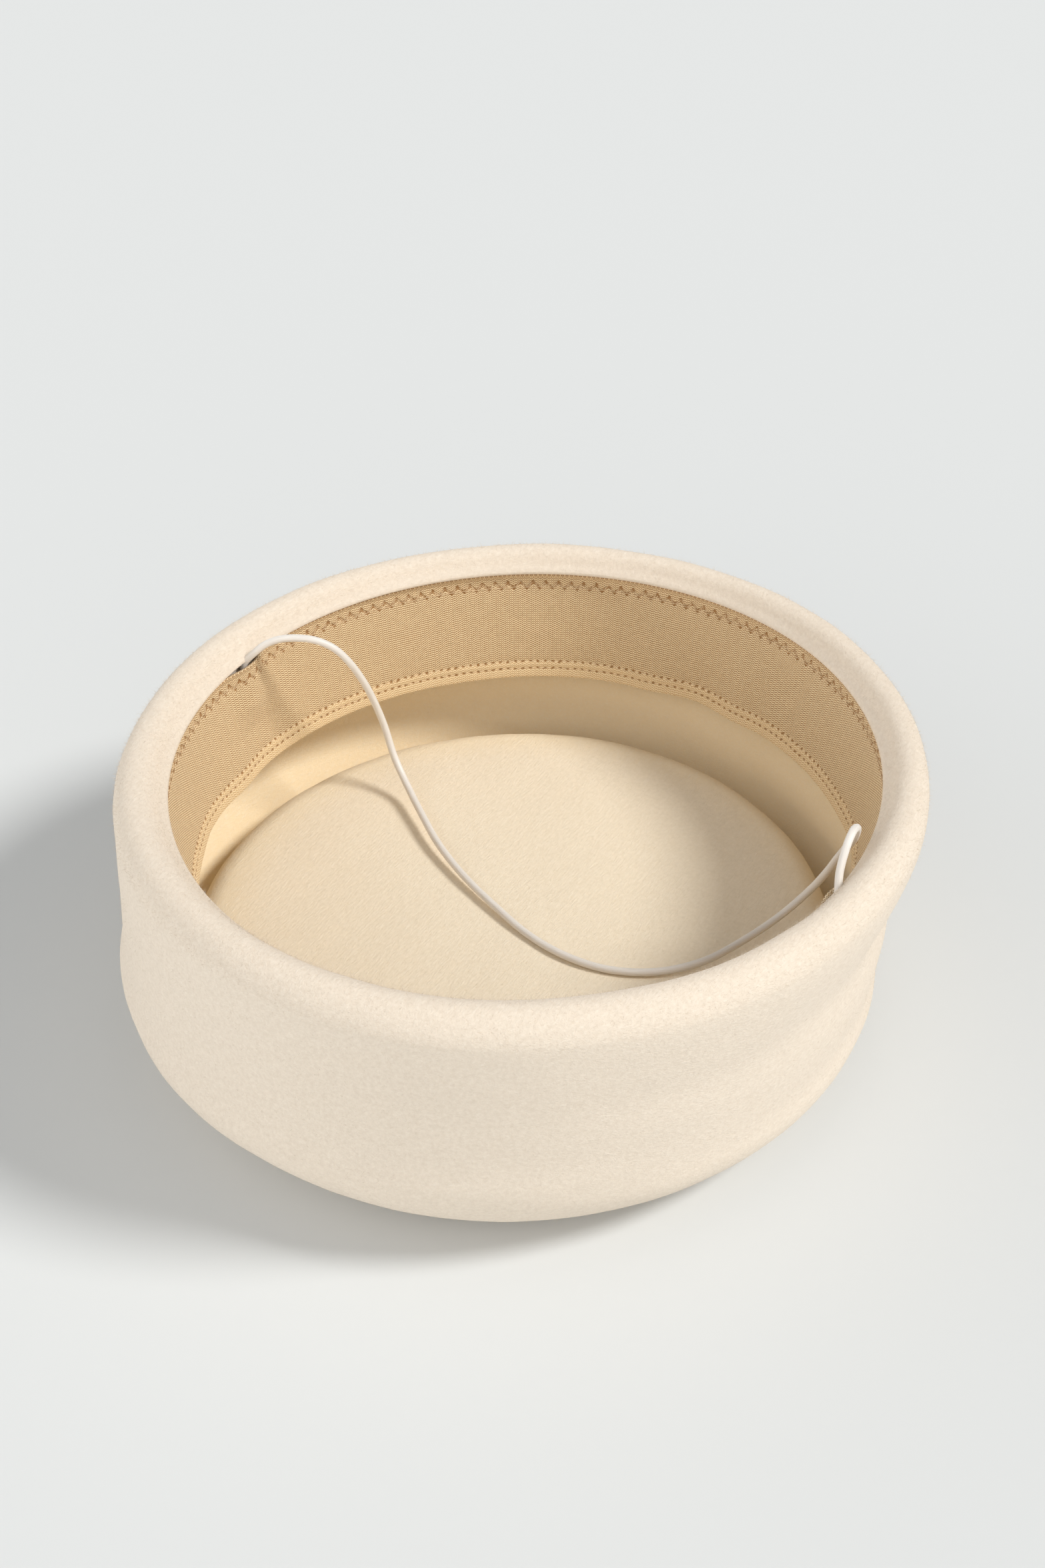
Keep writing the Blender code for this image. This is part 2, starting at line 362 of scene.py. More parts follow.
def pocket_point(turn, depth):
    """Middle of the elastic between the felt and the band, at a depth below the band's edge."""
    drop = band_drop + depth
    inset = turning_inset(drop) + seat_gap + elastic_thick / 2
    return place(turn, mean_radius - inset, rim_height - drop, 0.0, 1.0)


def smooth_route(points, count):
    """Even points along a smooth curve through the chosen ones."""
    dense = []
    for i in range(len(points) - 1):
        after_next = min(i + 2, len(points) - 1)
        ends = [points[max(i - 1, 0)], points[i], points[i + 1], points[after_next]]
        a, b, c, d = (Vector(end) for end in ends)
        for t in even_steps(0, 1, 21)[:-1]:
            dense.append(0.5 * (
                2 * b + (c - a) * t + (2 * a - 5 * b + 4 * c - d) * t**2
                + (3 * b - a - 3 * c + d) * t**3
            ))
    dense.append(Vector(points[-1]))
    lengths = [0.0]
    for before, after in zip(dense, dense[1:]):
        lengths.append(lengths[-1] + (after - before).length)
    even = []
    j = 0
    for goal in even_steps(0, lengths[-1], count):
        while j < len(dense) - 2 and lengths[j + 1] < goal:
            j += 1
        share = (goal - lengths[j]) / (lengths[j + 1] - lengths[j])
        even.append(dense[j].lerp(dense[j + 1], share))
    return even, lengths[-1]


def put(tree, kind, **values):
    """Add a node; values named after its settings are set, others are set on its inputs."""
    node = tree.nodes.new(kind)
    for name, value in values.items():
        if hasattr(node, name):
            setattr(node, name, value)
        else:
            node.inputs[name.replace("_", " ")].default_value = value
    return node


def sum_up(tree, operation, first, second=None, third=None):
    """One Math node; its inputs are sockets or numbers."""
    node = tree.nodes.new("ShaderNodeMath")
    node.operation = operation
    for i, value in enumerate((first, second, third)):
        if value is None:
            continue
        if isinstance(value, bpy.types.NodeSocket):
            tree.links.new(value, node.inputs[i])
        else:
            node.inputs[i].default_value = value
    return node.outputs[0]


def clamp(tree, value):
    """A value held between 0 and 1."""
    return sum_up(tree, "MINIMUM", sum_up(tree, "MAXIMUM", value, 0.0), 1.0)


def smooth_step(tree, value, low, high):
    """A value's share of the way between two limits, with soft ends."""
    step = put(tree, "ShaderNodeMapRange", interpolation_type="SMOOTHSTEP")
    tree.links.new(value, step.inputs["Value"])
    step.inputs["From Min"].default_value = low
    step.inputs["From Max"].default_value = high
    return step.outputs["Result"]


def blend_colours(tree, share, first, second):
    """Mix two colours; each is a socket or a colour."""
    node = tree.nodes.new("ShaderNodeMix")
    node.data_type = "RGBA"
    tree.links.new(share, node.inputs["Factor"])
    for name, value in (("A", first), ("B", second)):
        socket = [s for s in node.inputs if s.name == name and s.type == "RGBA"][0]
        if isinstance(value, bpy.types.NodeSocket):
            tree.links.new(value, socket)
        else:
            socket.default_value = (*value, 1.0)
    return [s for s in node.outputs if s.type == "RGBA"][0]


def new_group(name, inputs, outputs):
    """Shader node group with named sockets, and its two end nodes."""
    group = bpy.data.node_groups.new(name, "ShaderNodeTree")
    for label, kind in inputs:
        group.interface.new_socket(label, in_out="INPUT", socket_type=kind)
    for label, kind in outputs:
        group.interface.new_socket(label, in_out="OUTPUT", socket_type=kind)
    return group, group.nodes.new("NodeGroupInput"), group.nodes.new("NodeGroupOutput")


def new_finish(name):
    finish = bpy.data.materials.new(name)
    finish.use_nodes = True
    tree = finish.node_tree
    return finish, tree, tree.nodes["Principled BSDF"]


def make_wool_group():
    """Short matted fibres in all directions: their height, and a soft cloudy tone."""
    group, start, end = new_group(
        "matted_wool",
        [
            ("Place", "NodeSocketVector"),
            ("Fibre Size", "NodeSocketFloat"),
            ("Cloud Size", "NodeSocketFloat"),
        ],
        [("Height", "NodeSocketFloat"), ("Cloud", "NodeSocketFloat")],
    )
    height = None
    for turn_x, turn_y, turn_z in ((0.3, 0.5, 0.1), (1.2, 0.2, 1.1), (0.6, 1.3, 2.1)):
        turned = put(group, "ShaderNodeMapping", vector_type="POINT")
        turned.inputs["Rotation"].default_value = (turn_x, turn_y, turn_z)
        turned.inputs["Scale"].default_value = (1.0, 0.22, 1.0)
        group.links.new(start.outputs["Place"], turned.inputs["Vector"])
        fibres = put(group, "ShaderNodeTexNoise", Detail=3.0, Roughness=0.62, Distortion=0.35)
        group.links.new(turned.outputs["Vector"], fibres.inputs["Vector"])
        rate = sum_up(group, "DIVIDE", 1.0, start.outputs["Fibre Size"])
        group.links.new(rate, fibres.inputs["Scale"])
        level = fibres.outputs["Fac"]
        height = level if height is None else sum_up(group, "MAXIMUM", height, level)
    cloud = put(group, "ShaderNodeTexNoise", Detail=4.0, Roughness=0.55)
    group.links.new(start.outputs["Place"], cloud.inputs["Vector"])
    rate = sum_up(group, "DIVIDE", 1.0, start.outputs["Cloud Size"])
    group.links.new(rate, cloud.inputs["Scale"])
    group.links.new(height, end.inputs["Height"])
    group.links.new(cloud.outputs["Fac"], end.inputs["Cloud"])
    return group


def make_knit_group():
    """Zigzag courses of a knit elastic, from a UV map with turns round and metres along."""
    group, start, end = new_group(
        "zigzag_knit",
        [("Place", "NodeSocketVector")],
        [("Height", "NodeSocketFloat")],
    )
    split = put(group, "ShaderNodeSeparateXYZ")
    group.links.new(start.outputs["Place"], split.inputs["Vector"])
    ribs = sum_up(group, "MULTIPLY", split.outputs["X"], knit_ribs)
    zigzag = sum_up(group, "PINGPONG", ribs, 0.5)
    courses = sum_up(group, "DIVIDE", split.outputs["Y"], knit_course)
    course = sum_up(group, "MULTIPLY_ADD", zigzag, 2 * knit_zigzag / knit_course, courses)
    wave = sum_up(group, "SINE", sum_up(group, "MULTIPLY", course, math.tau))
    yarn = sum_up(group, "MULTIPLY_ADD", wave, 0.5, 0.5)
    leg = sum_up(group, "PINGPONG", ribs, 0.25)
    body = sum_up(group, "MULTIPLY_ADD", leg, 1.6, 0.6)
    group.links.new(sum_up(group, "MULTIPLY", yarn, body), end.inputs["Height"])
    return group


def spot(tree, across, down):
    """1 in the middle of an oval, falling to 0 at its edge; both sockets are 1 at the edge."""
    far = sum_up(tree, "MULTIPLY", down, down)
    far = sum_up(tree, "MULTIPLY_ADD", across, across, far)
    return sum_up(tree, "MAXIMUM", sum_up(tree, "SUBTRACT", 1.0, far), 0.0)


def make_seam_group():
    """Needle holes and grooves of the zigzag seam and the two hem rows: 1 where deepest."""
    group, start, end = new_group(
        "seam_holes",
        [("Place", "NodeSocketVector")],
        [("Depth", "NodeSocketFloat"), ("Lit Hem", "NodeSocketFloat")],
    )
    split = put(group, "ShaderNodeSeparateXYZ")
    group.links.new(start.outputs["Place"], split.inputs["Vector"])
    spread = put(group, "ShaderNodeMapping", vector_type="POINT")
    spread.inputs["Scale"].default_value = (*stray_rate, 1.0)
    group.links.new(start.outputs["Place"], spread.inputs["Vector"])
    uneven = put(group, "ShaderNodeTexNoise", Scale=1.0, Detail=2.0)
    group.links.new(spread.outputs["Vector"], uneven.inputs["Vector"])
    stray = sum_up(group, "SUBTRACT", uneven.outputs["Fac"], 0.5)
    along = sum_up(group, "MULTIPLY_ADD", stray, needle_stray, split.outputs["Y"])

    phase = sum_up(group, "MULTIPLY", split.outputs["X"], zigzag_count)
    swing = sum_up(group, "MULTIPLY_ADD", sum_up(group, "PINGPONG", phase, 0.5), -4.0, 1.0)
    line = sum_up(group, "MULTIPLY_ADD", swing, zigzag_reach, zigzag_middle)
    down = sum_up(group, "SUBTRACT", along, line)
    apex = sum_up(group, "PINGPONG", phase, 0.25)
    apex = sum_up(group, "MULTIPLY", apex, seam_girth / zigzag_count / zigzag_hole)
    hole = spot(group, apex, sum_up(group, "DIVIDE", down, zigzag_hole))
    groove = spot(group, 0.0, sum_up(group, "DIVIDE", down, zigzag_round))
    depth = sum_up(group, "MULTIPLY_ADD", groove, zigzag_shade, hole)
    frayed = smooth_step(group, uneven.outputs["Fac"], *fray_span)
    depth = sum_up(group, "MULTIPLY", depth, frayed)

    stitch = sum_up(group, "MULTIPLY", split.outputs["X"], hem_stitches)
    stitch = sum_up(group, "MULTIPLY_ADD", stray, needle_stray_round, stitch)
    stitch = sum_up(group, "PINGPONG", stitch, 0.5)
    across = sum_up(group, "MULTIPLY", stitch, seam_girth / hem_stitches / hem_hole_long)
    for row in hem_rows:
        down = sum_up(group, "DIVIDE", sum_up(group, "SUBTRACT", along, row), hem_hole_tall)
        hole = sum_up(group, "MULTIPLY", spot(group, across, down), hem_hole_shade)
        depth = sum_up(group, "MAXIMUM", depth, hole)
    group.links.new(sum_up(group, "MINIMUM", depth, 1.0), end.inputs["Depth"])
    # Painted light: the hem share, where the knit's gaps turn paler
    fade = [hem_rows[0] + distance for distance in hem_light_fade]
    group.links.new(smooth_step(group, split.outputs["Y"], *fade), end.inputs["Lit Hem"])
    return group


def add_bump(tree, shader, height, strength, distance):
    bump = put(tree, "ShaderNodeBump", Strength=strength, Distance=distance)
    tree.links.new(height, bump.inputs["Height"])
    tree.links.new(bump.outputs["Normal"], shader.inputs["Normal"])


def make_felt_finish(name, wool, dark, pale, speck, edge=None):
    """Felt: soft clouds between two tones, with paler short fibres in it.

    edge is a painted tone for the warm bounce light and shade of the inner walls, which both turn
    towards far from the hat's middle.
    """
    finish, tree, shader = new_finish(name)
    where = put(tree, "ShaderNodeTexCoord")
    matted = put(tree, "ShaderNodeGroup", node_tree=wool)
    matted.inputs["Fibre Size"].default_value = fibre_size
    matted.inputs["Cloud Size"].default_value = cloud_size
    tree.links.new(where.outputs["Object"], matted.inputs["Place"])
    cloud = clamp(tree, sum_up(tree, "MULTIPLY_ADD", matted.outputs["Cloud"], 1.9, -0.45))
    tone = blend_colours(tree, cloud, dark, pale)
    if edge is not None:
        # Painted light: towards the inner walls the tone turns to the edge tone, for warm bounce
        # light and shade
        flat = put(tree, "ShaderNodeMapping", vector_type="POINT")
        flat.inputs["Scale"].default_value = (1.0, 1.0, 0.0)
        tree.links.new(where.outputs["Object"], flat.inputs["Vector"])
        far = put(tree, "ShaderNodeVectorMath", operation="LENGTH")
        tree.links.new(flat.outputs["Vector"], far.inputs[0])
        bounce_zone = smooth_step(tree, far.outputs["Value"], *painted_bounce_span)
        tone = blend_colours(tree, sum_up(tree, "MULTIPLY", bounce_zone, painted_bounce_share), tone, edge)
    fibres = clamp(tree, sum_up(tree, "MULTIPLY_ADD", matted.outputs["Height"], 4.0, -2.1))
    tone = blend_colours(tree, sum_up(tree, "MULTIPLY", fibres, fibre_share), tone, speck)
    tree.links.new(tone, shader.inputs["Base Color"])
    shader.inputs["Roughness"].default_value = 0.95
    shader.inputs["Specular IOR Level"].default_value = 0.15
    shader.inputs["Sheen Weight"].default_value = 0.15
    shader.inputs["Sheen Roughness"].default_value = 0.5
    shader.inputs["Sheen Tint"].default_value = (1.0, 0.95, 0.90, 1.0)
    add_bump(tree, shader, matted.outputs["Height"], 0.45, 0.0006)
    return finish


def make_knit_finish(knit, seams):
    """Yarn with painted shade in the gaps between its courses, painted light that makes the hem's
    gaps paler, and painted shade in the seams.
    """
    finish, tree, shader = new_finish("zigzag_knit")
    weave = put(tree, "ShaderNodeUVMap", uv_map="knit")
    rows = put(tree, "ShaderNodeGroup", node_tree=knit)
    tree.links.new(weave.outputs["UV"], rows.inputs["Place"])
    sewn = put(tree, "ShaderNodeGroup", node_tree=seams)
    tree.links.new(weave.outputs["UV"], sewn.inputs["Place"])
    where = put(tree, "ShaderNodeTexCoord")
    mottle = put(tree, "ShaderNodeTexNoise", Scale=900.0, Detail=2.0)
    tree.links.new(where.outputs["Object"], mottle.inputs["Vector"])
    uneven = sum_up(tree, "MULTIPLY_ADD", mottle.outputs["Fac"], 0.26, -0.13)
    share = clamp(tree, sum_up(tree, "MULTIPLY_ADD", rows.outputs["Height"], 1.25, uneven))
    # Painted shade in the gaps between the yarn courses, made paler in the hem as painted light
    gap_shade = blend_colours(tree, sewn.outputs["Lit Hem"], (0.330, 0.165, 0.060), (0.580, 0.360, 0.170))
    yarn = (0.965, 0.778, 0.488)
    # Painted shade: the seam's needle holes and groove darken towards this brown, in uneven
    # patches
    seam_shade = (0.350, 0.180, 0.062)
    tone = blend_colours(tree, share, gap_shade, yarn)
    tone = blend_colours(tree, sewn.outputs["Depth"], tone, seam_shade)
    tree.links.new(tone, shader.inputs["Base Color"])
    shader.inputs["Roughness"].default_value = 0.72
    shader.inputs["Specular IOR Level"].default_value = 0.30
    shader.inputs["Sheen Weight"].default_value = 0.15
    shader.inputs["Sheen Tint"].default_value = (1.0, 0.90, 0.75, 1.0)
    level = sum_up(tree, "MULTIPLY_ADD", sewn.outputs["Depth"], -1.2, rows.outputs["Height"])
    add_bump(tree, shader, level, 0.7, 0.00022)
    return finish


def make_thread_finish():
    finish, tree, shader = new_finish("tan_thread")
    where = put(tree, "ShaderNodeTexCoord")
    fuzz = put(tree, "ShaderNodeTexNoise", Scale=1600.0, Detail=2.0)
    tree.links.new(where.outputs["Object"], fuzz.inputs["Vector"])
    tone = blend_colours(tree, fuzz.outputs["Fac"], (0.62, 0.42, 0.22), (0.88, 0.70, 0.47))
    tree.links.new(tone, shader.inputs["Base Color"])
    shader.inputs["Roughness"].default_value = 0.6
    add_bump(tree, shader, fuzz.outputs["Fac"], 0.4, 0.0001)
    return finish


def make_elastic_finish():
    """Satin cover of fine threads that run lengthwise, from the line's own UV map."""
    finish, tree, shader = new_finish("covered_white")
    line = put(tree, "ShaderNodeTexCoord")
    drawn = put(tree, "ShaderNodeMapping", vector_type="POINT")
    drawn.inputs["Scale"].default_value = (60.0, 30.0, 1.0)
    tree.links.new(line.outputs["UV"], drawn.inputs["Vector"])
    threads = put(tree, "ShaderNodeTexNoise", Scale=1.0, Detail=3.0, Roughness=0.6)
    tree.links.new(drawn.outputs["Vector"], threads.inputs["Vector"])
    tone = blend_colours(tree, threads.outputs["Fac"], (0.66, 0.60, 0.53), (0.93, 0.89, 0.83))
    tree.links.new(tone, shader.inputs["Base Color"])
    shader.inputs["Roughness"].default_value = 0.42
    shader.inputs["Sheen Weight"].default_value = 0.2
    add_bump(tree, shader, threads.outputs["Fac"], 0.45, 0.00012)
    return finish


def wrap_grid(columns, rows):
    """Flat grid to wrap round the hat; two layers keep each point's column and row."""
    shape = bmesh.new()
    bmesh.ops.create_grid(shape, x_segments=columns, y_segments=rows, size=0.5)
    column = shape.verts.layers.int.new("column")
    row = shape.verts.layers.int.new("row")
    for point in shape.verts:
        point[column] = round((point.co.x + 0.5) * columns)
        point[row] = round((point.co.y + 0.5) * rows)
    return shape, column, row


def join_edges(shape):
    """Merge the points where the edges of a wrapped grid meet."""
    edge = [point for point in shape.verts if point.is_boundary]
    bmesh.ops.remove_doubles(shape, verts=edge, dist=weld_reach)
    bmesh.ops.recalc_face_normals(shape, faces=shape.faces)


def finish_piece(shape, name, finish):
    mesh = bpy.data.meshes.new(name)
    shape.to_mesh(mesh)
    shape.free()
    mesh.shade_smooth()
    piece = bpy.data.objects.new(name, mesh)
    piece.data.materials.append(finish)
    bpy.context.scene.collection.objects.link(piece)
    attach(piece, "root")
    return piece


def felt_rows():
    """Outside of the felt, from the middle of the tip to the end of the turned-in edge."""
    ring_inner = mean_radius - wall_tuck - edge_out - ring_width
    under = tip_height - felt_wall
    round_under = tip_shoulder - felt_wall
    flat = mean_radius - wall_tuck - felt_wall - tip_gap - tip_shoulder
    rows = []
    for share in even_steps(0, 1, 18):
        rows.append((flat * share, under + tip_dome * (1 - share**2), tip_lean, 0.0))
    for angle in even_steps(82, -30, 14):
        turned = math.radians(angle)
        radius = flat + round_under * math.cos(turned)
        rows.append((radius, under - round_under + round_under * math.sin(turned), tip_lean, 0.0))
    last = rows[-1]
    fold = []
    for angle in even_steps(205, 270, 7):
        turned = math.radians(angle)
        radius = ring_inner + fold_round * math.cos(turned)
        fold.append((radius, fold_round + fold_round * math.sin(turned), edge_lean[0][1], 0.0))
    for share in (0.2, 0.4, 0.6, 0.8):
        rows.append(tuple(a + (b - a) * share for a, b in zip(last, fold[0])))
    rows += fold
    start = ring_inner + ring_width
    for angle in even_steps(0, 84, 19):
        turned = math.radians(angle)
        height = edge_up * (1 - math.cos(turned))
        radius = start + edge_out * math.sin(turned) ** edge_fullness
        rows.append((radius, height, read_table(edge_lean, 1, height / edge_up), 0.0))
    for share in even_steps(0.02, 0.96, 24):
        tuck = read_table(wall_levels, 1, share) * wall_tuck
        lean = read_table(wall_levels, 2, share)
        rows.append((mean_radius - tuck, edge_up + share * wall_height, lean, 0.0))
    for angle in even_steps(0, 180, 25):
        turned = math.radians(angle)
        inner = (1 - math.cos(turned)) / 2
        rise = roll_rise * math.sin(turned)
        lip = lip_over_band(-rise) if inner > 0.5 else 0.0
        rows.append((mean_radius - roll_thick * inner - lip, rim_height + rise, 0.0, inner))
    drops = even_steps(0, roll_pinch_drop, 5)[1:]
    drops += even_steps(roll_pinch_drop, turning_length, 8)[1:]
    for drop in drops:
        inset = turning_inset(drop) + lip_over_band(drop)
        rows.append((mean_radius - inset, rim_height - drop, 0.0, 1.0))
    return rows


def make_felt(outside, inside):
    """One piece of felt, with the soft unevenness of a hand-blocked hat."""
    rows = felt_rows()
    shape, column, number = wrap_grid(felt_columns, len(rows) - 1)
    for point in shape.verts:
        radius, height, lean, inner = rows[point[number]]
        point.co = place(360 * point[column] / felt_columns, radius, height, lean, inner)
    join_edges(shape)
    lowest = min(shape.faces, key=lambda face: face.calc_center_median().z)
    if lowest.normal.z > 0:
        bmesh.ops.reverse_faces(shape, faces=shape.faces)
    shape.normal_update()
    moves = []
    for point in shape.verts:
        free = ease(*seat_fade, point.co.z) * (1 - ease(*turning_fade, rows[point[number]][3]))
        lump = noise.noise(point.co / lump_size) * lump_height
        ripple = noise.noise(point.co / ripple_size) * ripple_height
        moves.append(point.normal * (lump + ripple) * free)
    for point, move in zip(shape.verts, moves):
        point.co += move
    felt = finish_piece(shape, "felt_body", outside)
    felt.data.materials.append(inside)
    wall = felt.modifiers.new("wall", "SOLIDIFY")
    wall.thickness = felt_wall
    wall.offset = -1.0
    wall.use_even_offset = True
    wall.material_offset = 1
    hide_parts("felt_crown")
    return felt


def make_nap(felt, name, size, seed, finish, low, high, walled):
    """Fine fibres on the felt between two heights, each a thin bent spike.

    size is their length and how many there are to the square metre. walled takes the felt
    with its full thickness and spreads them where it faces up, as on the tip. Otherwise
    they are on the outside of the felt.
    """
    length, density = size
    group = bpy.data.node_groups.new(name, "GeometryNodeTree")
    group.interface.new_socket("Geometry", in_out="INPUT", socket_type="NodeSocketGeometry")
    group.interface.new_socket("Geometry", in_out="OUTPUT", socket_type="NodeSocketGeometry")
    start, end = group.nodes.new("NodeGroupInput"), group.nodes.new("NodeGroupOutput")
    link = group.links.new
    scatter = put(group, "GeometryNodeDistributePointsOnFaces", Seed=seed, Density=density)
    where = put(group, "GeometryNodeInputPosition")
    split = put(group, "ShaderNodeSeparateXYZ")
    link(where.outputs["Position"], split.inputs["Vector"])
    above = sum_up(group, "GREATER_THAN", split.outputs["Z"], low)
    chosen = sum_up(group, "MULTIPLY", above, sum_up(group, "LESS_THAN", split.outputs["Z"], high))
    if walled:
        facing = put(group, "GeometryNodeInputNormal")
        upright = put(group, "ShaderNodeSeparateXYZ")
        link(facing.outputs["Normal"], upright.inputs["Vector"])
        up_facing = sum_up(group, "GREATER_THAN", upright.outputs["Z"], nap_upright)
        chosen = sum_up(group, "MULTIPLY", chosen, up_facing)
    link(start.outputs["Geometry"], scatter.inputs["Mesh"])
    link(chosen, scatter.inputs["Selection"])
    fibre = put(
        group, "GeometryNodeMeshCone", Vertices=3, Side_Segments=2, Radius_Top=0.0,
        Radius_Bottom=nap_thick / 2, Depth=length,
    )
    bent = put(group, "GeometryNodeSetPosition")
    spine = put(group, "GeometryNodeInputPosition")
    parts = put(group, "ShaderNodeSeparateXYZ")
    link(spine.outputs["Position"], parts.inputs["Vector"])
    up = sum_up(group, "DIVIDE", parts.outputs["Z"], length)
    bow = sum_up(group, "MULTIPLY", sum_up(group, "POWER", up, 2.0), length * nap_bow)
    offset = put(group, "ShaderNodeCombineXYZ")
    link(bow, offset.inputs["X"])
    link(offset.outputs["Vector"], bent.inputs["Offset"])
    link(fibre.outputs["Mesh"], bent.inputs["Geometry"])
    spread = put(group, "GeometryNodeInstanceOnPoints")
    link(scatter.outputs["Points"], spread.inputs["Points"])
    link(bent.outputs["Geometry"], spread.inputs["Instance"])
    link(scatter.outputs["Rotation"], spread.inputs["Rotation"])
    turned = put(group, "GeometryNodeRotateInstances")
    angles = put(group, "FunctionNodeRandomValue", data_type="FLOAT_VECTOR", Seed=seed + 1)
    angles.inputs["Min"].default_value = (-1.0, -1.0, 0.0)
    angles.inputs["Max"].default_value = (1.0, 1.0, math.tau)
    link(spread.outputs["Instances"], turned.inputs["Instances"])
    link(angles.outputs["Value"], turned.inputs["Rotation"])
    sized = put(group, "GeometryNodeScaleInstances")
    sizes = put(group, "FunctionNodeRandomValue", data_type="FLOAT", Seed=seed + 2)
    for label, value in zip(("Min", "Max"), nap_sizes):
        limit = [s for s in sizes.inputs if s.name == label and s.type == "VALUE"][0]
        limit.default_value = value
    link(turned.outputs["Instances"], sized.inputs["Instances"])
    link([s for s in sizes.outputs if s.type == "VALUE"][0], sized.inputs["Scale"])
    joined = put(group, "GeometryNodeRealizeInstances")
    link(sized.outputs["Instances"], joined.inputs["Geometry"])
    link(joined.outputs["Geometry"], end.inputs["Geometry"])

    ground = felt.copy()
    ground.data = felt.data.copy()
    bpy.context.scene.collection.objects.link(ground)
    if not walled:
        ground.modifiers.clear()
    nodes = ground.modifiers.new("nap", "NODES")
    nodes.node_group = group
    view = bpy.context.evaluated_depsgraph_get()
    mesh = bpy.data.meshes.new_from_object(ground.evaluated_get(view))
    bpy.data.objects.remove(ground)
    mesh.name = name
    mesh.materials.clear()
    mesh.materials.append(finish)
    mesh.shade_smooth()
    nap = bpy.data.objects.new(name, mesh)
    nap.visible_shadow = False
    bpy.context.scene.collection.objects.link(nap)
    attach(nap, "root")
    return nap


def zigzag_at(turn):
    """Distance below the band's edge of the zigzag seam, at a place round the hat."""
    phase = turn / 360 * zigzag_count
    swing = abs(2 * (phase - math.floor(phase)) - 1) * 2 - 1
    return zigzag_middle + zigzag_reach * swing


def band_relief(turn, along):
    """How far the band's face stands up: hem, seam grooves and needle dimples."""
    begin, full = (band_width - hem_width + distance for distance in hem_step)
    relief = hem_stand * ease(begin, full, along)
    if along < zigzag_middle + 3 * zigzag_reach:
        away = (along - zigzag_at(turn)) / zigzag_round
        relief -= zigzag_groove * math.exp(-(away**2))
    for row in hem_rows:
        down = (along - row) / (2 * hem_hole_tall)
        relief -= hem_dimple * math.exp(-(down**2))
    return relief


def band_section():
    """Section of the band as a closed loop: distance down its face, depth behind it."""
    seam_low = zigzag_middle + 2 * zigzag_reach
    hem_high = hem_rows[0] - 3 * hem_hole_tall
    hem_low = hem_rows[1] + 3 * hem_hole_tall
    turned_edge = hem_thick / 4
    fronts = even_steps(turned_edge / 2, seam_low, 16)
    fronts += even_steps(seam_low, hem_high, 22)[1:]
    fronts += even_steps(hem_high, hem_low, 16)[1:]
    fronts += even_steps(hem_low, band_width - turned_edge, 5)[1:]
    rows = [(along, 0.0) for along in fronts]
    for angle in (30, 60, 90, 120, 150):
        turned = math.radians(angle)
        rows.append((
            band_width - turned_edge * (1 - math.sin(turned)),
            hem_thick / 2 * (1 - math.cos(turned)),
        ))
    rows += [
        (band_width - hem_thick / 2, hem_thick),
        (band_width - hem_width + hem_thick, hem_thick),
        (band_width - hem_width, band_thick),
        (band_width / 2, band_thick),
        (turned_edge / 2, band_thick),
        (0.0, 0.75 * band_thick),
        (0.0, 0.25 * band_thick),
    ]
    return rows + rows[:1]


def make_band(finish):
    """Knit sweatband: one closed loop of cloth with hem, waves, pockets and seams."""
    rows = band_section()
    shape, column, number = wrap_grid(band_columns, len(rows) - 1)
    knit = shape.loops.layers.uv.new("knit")
    for face in shape.faces:
        for corner in face.loops:
            along, depth = rows[corner.vert[number]]
            corner[knit].uv = (corner.vert[column] / band_columns, along + depth)
    for point in shape.verts:
        along, depth = rows[point[number]]
        turn = 360 * (point[column] % band_columns) / band_columns
        if depth == 0.0:
            depth -= band_relief(turn, along)
            depth -= knit_uneven * noise.noise(Vector((turn / 3.0, along * 250, 0.0)))
        point.co = band_point(turn, along, depth)
    join_edges(shape)
    band = finish_piece(shape, "knit_band", finish)
    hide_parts("sweatband")
    return band


def thread_loop(name, points, thick, finish):
    """A closed loop of sewing thread through points."""
    line = bpy.data.curves.new(name, "CURVE")
    line.dimensions = "3D"
    line.bevel_depth = thick / 2
    line.bevel_resolution = 1
    spline = line.splines.new("POLY")
    spline.points.add(len(points) - 1)
    for point, where in zip(spline.points, points):
        point.co = (*where, 1.0)
    spline.use_cyclic_u = True
    thread = bpy.data.objects.new(name, line)
    line.materials.append(finish)
    bpy.context.scene.collection.objects.link(thread)
    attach(thread, "root")
    return thread


def make_threads(finish):
    """Zigzag seam with its straight locking thread, and the twin-needle rows in the hem."""
    made = []
    points = []
    for i in range(zigzag_count * 8):
        turn = 360 * i / (zigzag_count * 8)
        along = zigzag_at(turn) + 0.00015 * noise.noise(Vector((turn * 1.3, 5.0, 0.0)))
        up = 0.00008 * abs(math.sin(math.pi * i / 4)) - 0.00010
        points.append(band_point(turn, along, -band_relief(turn, along) - up))
    made.append(thread_loop("zigzag_thread", points, thread_thick * 0.8, finish))
    points = []
    for i in range(zigzag_count * 4):
        turn = 360 * i / (zigzag_count * 4)
        along = chain_line + 0.00030 * noise.noise(Vector((turn * 0.8, 3.0, 0.0)))
        up = 0.00010 + 0.00010 * math.sin(math.pi * i / 2)
        points.append(band_point(turn, along, -up))
    made.append(thread_loop("chain_thread", points, thread_thick * 0.6, finish))
    for name, row in zip(("hem_thread_upper", "hem_thread_lower"), hem_rows):
        points = []
        for i in range(hem_stitches * 6):
            turn = 360 * i / (hem_stitches * 6)
            up = thread_thick * (abs(math.sin(math.pi * i / 6)) - 1.0)
            points.append(band_point(turn, row, -band_relief(turn, row) - up))
        made.append(thread_loop(name, points, thread_thick, finish))
    return made


